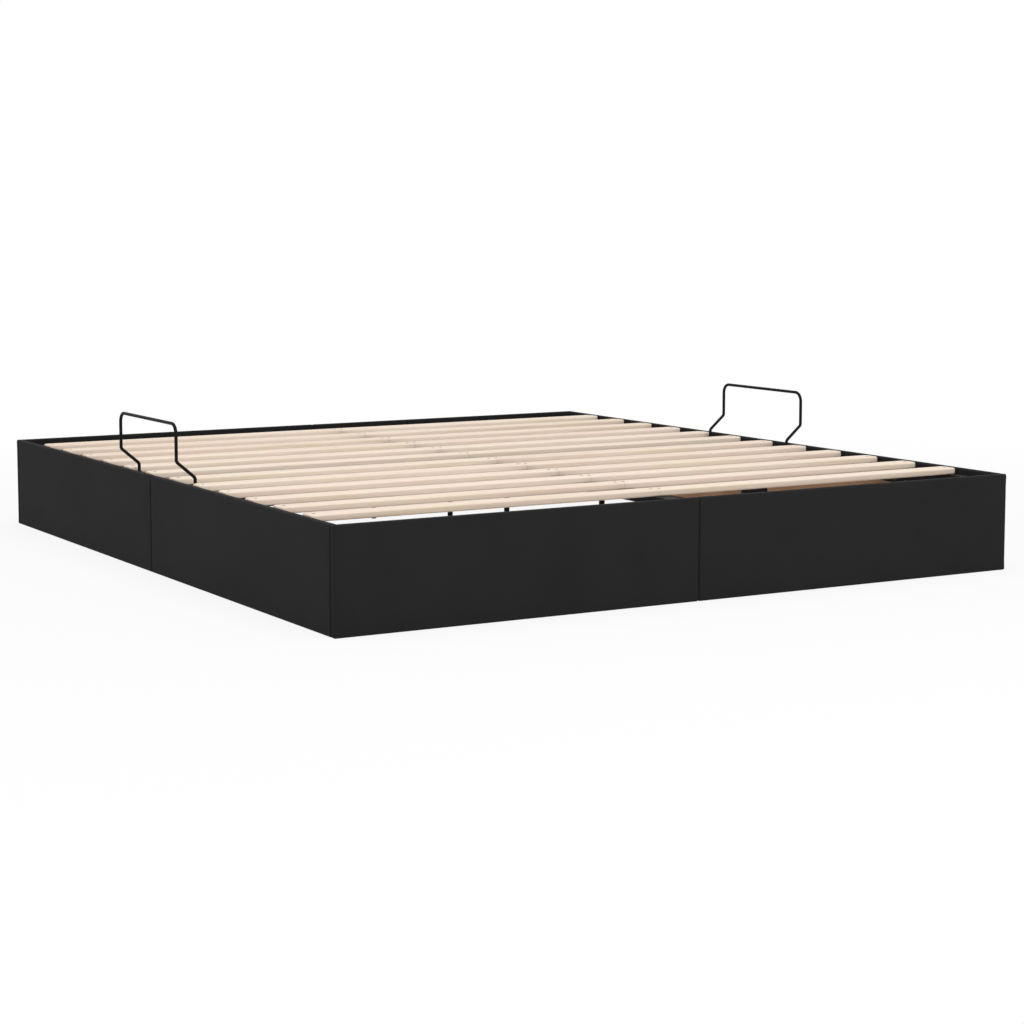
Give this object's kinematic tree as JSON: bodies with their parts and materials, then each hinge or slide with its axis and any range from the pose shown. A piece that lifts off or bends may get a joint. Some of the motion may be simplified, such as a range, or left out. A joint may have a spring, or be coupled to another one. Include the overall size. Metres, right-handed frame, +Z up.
{
  "type": "ottoman bed",
  "caption": "Low upholstered ottoman bed base: split panels round an open storage space, under a slatted steel frame that lifts at the foot end on gas springs, with wire mattress retainers.",
  "frame": {"origin": "on the floor, under the middle of the bed", "axes": "+Z up, +Y from the foot end to the hinged head end, +X from the left side to the right side"},
  "size_m": [1.848, 2.03, 0.382],
  "materials": {
    "cover_fabric": "fine matte weave",
    "panel_wood": "raw board",
    "slat_wood": "sanded, unvarnished",
    "black_steel": "satin powder coat",
    "zinc_steel": "zinc plated",
    "dark_screw": "black oxide",
    "spring_paint": "gloss black paint",
    "rod_chrome": "polished",
    "black_plastic": "moulded"
  },
  "bodies": {
    "base": {"foot_left_board": "panel_wood", "foot_left_cover": "cover_fabric", "foot_right_board": "panel_wood", "foot_right_cover": "cover_fabric", "head_left_board": "panel_wood", "head_left_cover": "cover_fabric", "head_right_board": "panel_wood", "head_right_cover": "cover_fabric", "left_foot_board": "panel_wood", "left_foot_cover": "cover_fabric", "left_head_board": "panel_wood", "left_head_cover": "cover_fabric", "right_foot_board": "panel_wood", "right_foot_cover": "cover_fabric", "right_head_board": "panel_wood", "right_head_cover": "cover_fabric", "corner_brackets": "black_steel", "joint_plates": "black_steel", "frame_rests": "black_steel", "left_hinge_plate": "black_steel", "right_hinge_plate": "black_steel", "panel_screws": "dark_screw", "hinge_bolts": "zinc_steel", "lower_spring_pins": "zinc_steel"},
    "slat_frame": {"slat_row_01": "slat_wood", "slat_row_02": "slat_wood", "slat_row_03": "slat_wood", "slat_row_04": "slat_wood", "slat_row_05": "slat_wood", "slat_row_06": "slat_wood", "slat_row_07": "slat_wood", "slat_row_08": "slat_wood", "slat_row_09": "slat_wood", "slat_row_10": "slat_wood", "slat_row_11": "slat_wood", "slat_row_12": "slat_wood", "slat_screws": "dark_screw", "retainer_nuts": "dark_screw", "left_rail_foot": "black_steel", "left_rail_head": "black_steel", "right_rail_foot": "black_steel", "right_rail_head": "black_steel", "centre_rail_foot": "black_steel", "centre_rail_head": "black_steel", "foot_crossbar": "black_steel", "head_crossbar": "black_steel", "middle_crossbars": "black_steel", "support_legs": "black_steel", "left_mattress_retainer": "black_steel", "right_mattress_retainer": "black_steel", "left_hinge_arm": "black_steel", "right_hinge_arm": "black_steel", "frame_bolts": "zinc_steel", "upper_spring_pins": "zinc_steel", "crossbar_caps": "black_plastic", "leg_feet": "black_plastic"},
    "left_spring_cylinder": {"left_gas_cylinder": "spring_paint"},
    "left_spring_rod": {"left_gas_rod": "rod_chrome"},
    "right_spring_cylinder": {"right_gas_cylinder": "spring_paint"},
    "right_spring_rod": {"right_gas_rod": "rod_chrome"}
  },
  "joints": [
    {"name": "lift", "type": "hinge", "parent": "base", "child": "slat_frame", "pos_m": [0, 0.85, 0.19], "axis": [-1, 0, 0], "range_deg": [0, 35]},
    {"name": "left_spring_swing", "type": "hinge", "parent": "base", "child": "left_spring_cylinder", "pos_m": [-0.874, 0.793, 0.027], "axis": [-1, 0, 0], "range_deg": [0, 25.93]},
    {"name": "left_spring_slide", "type": "slide", "parent": "left_spring_cylinder", "child": "left_spring_rod", "axis": [0, -0.8267, 0.5626], "range_m": [0, 0.0921]},
    {"name": "right_spring_swing", "type": "hinge", "parent": "base", "child": "right_spring_cylinder", "pos_m": [0.874, 0.793, 0.027], "axis": [-1, 0, 0], "range_deg": [0, 25.93]},
    {"name": "right_spring_slide", "type": "slide", "parent": "right_spring_cylinder", "child": "right_spring_rod", "axis": [0, -0.8267, 0.5626], "range_m": [0, 0.0921]}
  ],
  "couplings": [
    {"joint": "left_spring_swing", "follows": "lift", "ratio": 0.74065},
    {"joint": "left_spring_slide", "follows": "lift", "m_per_rad": 0.15068},
    {"joint": "right_spring_swing", "follows": "lift", "ratio": 0.74065},
    {"joint": "right_spring_slide", "follows": "lift", "m_per_rad": 0.15068}
  ]
}
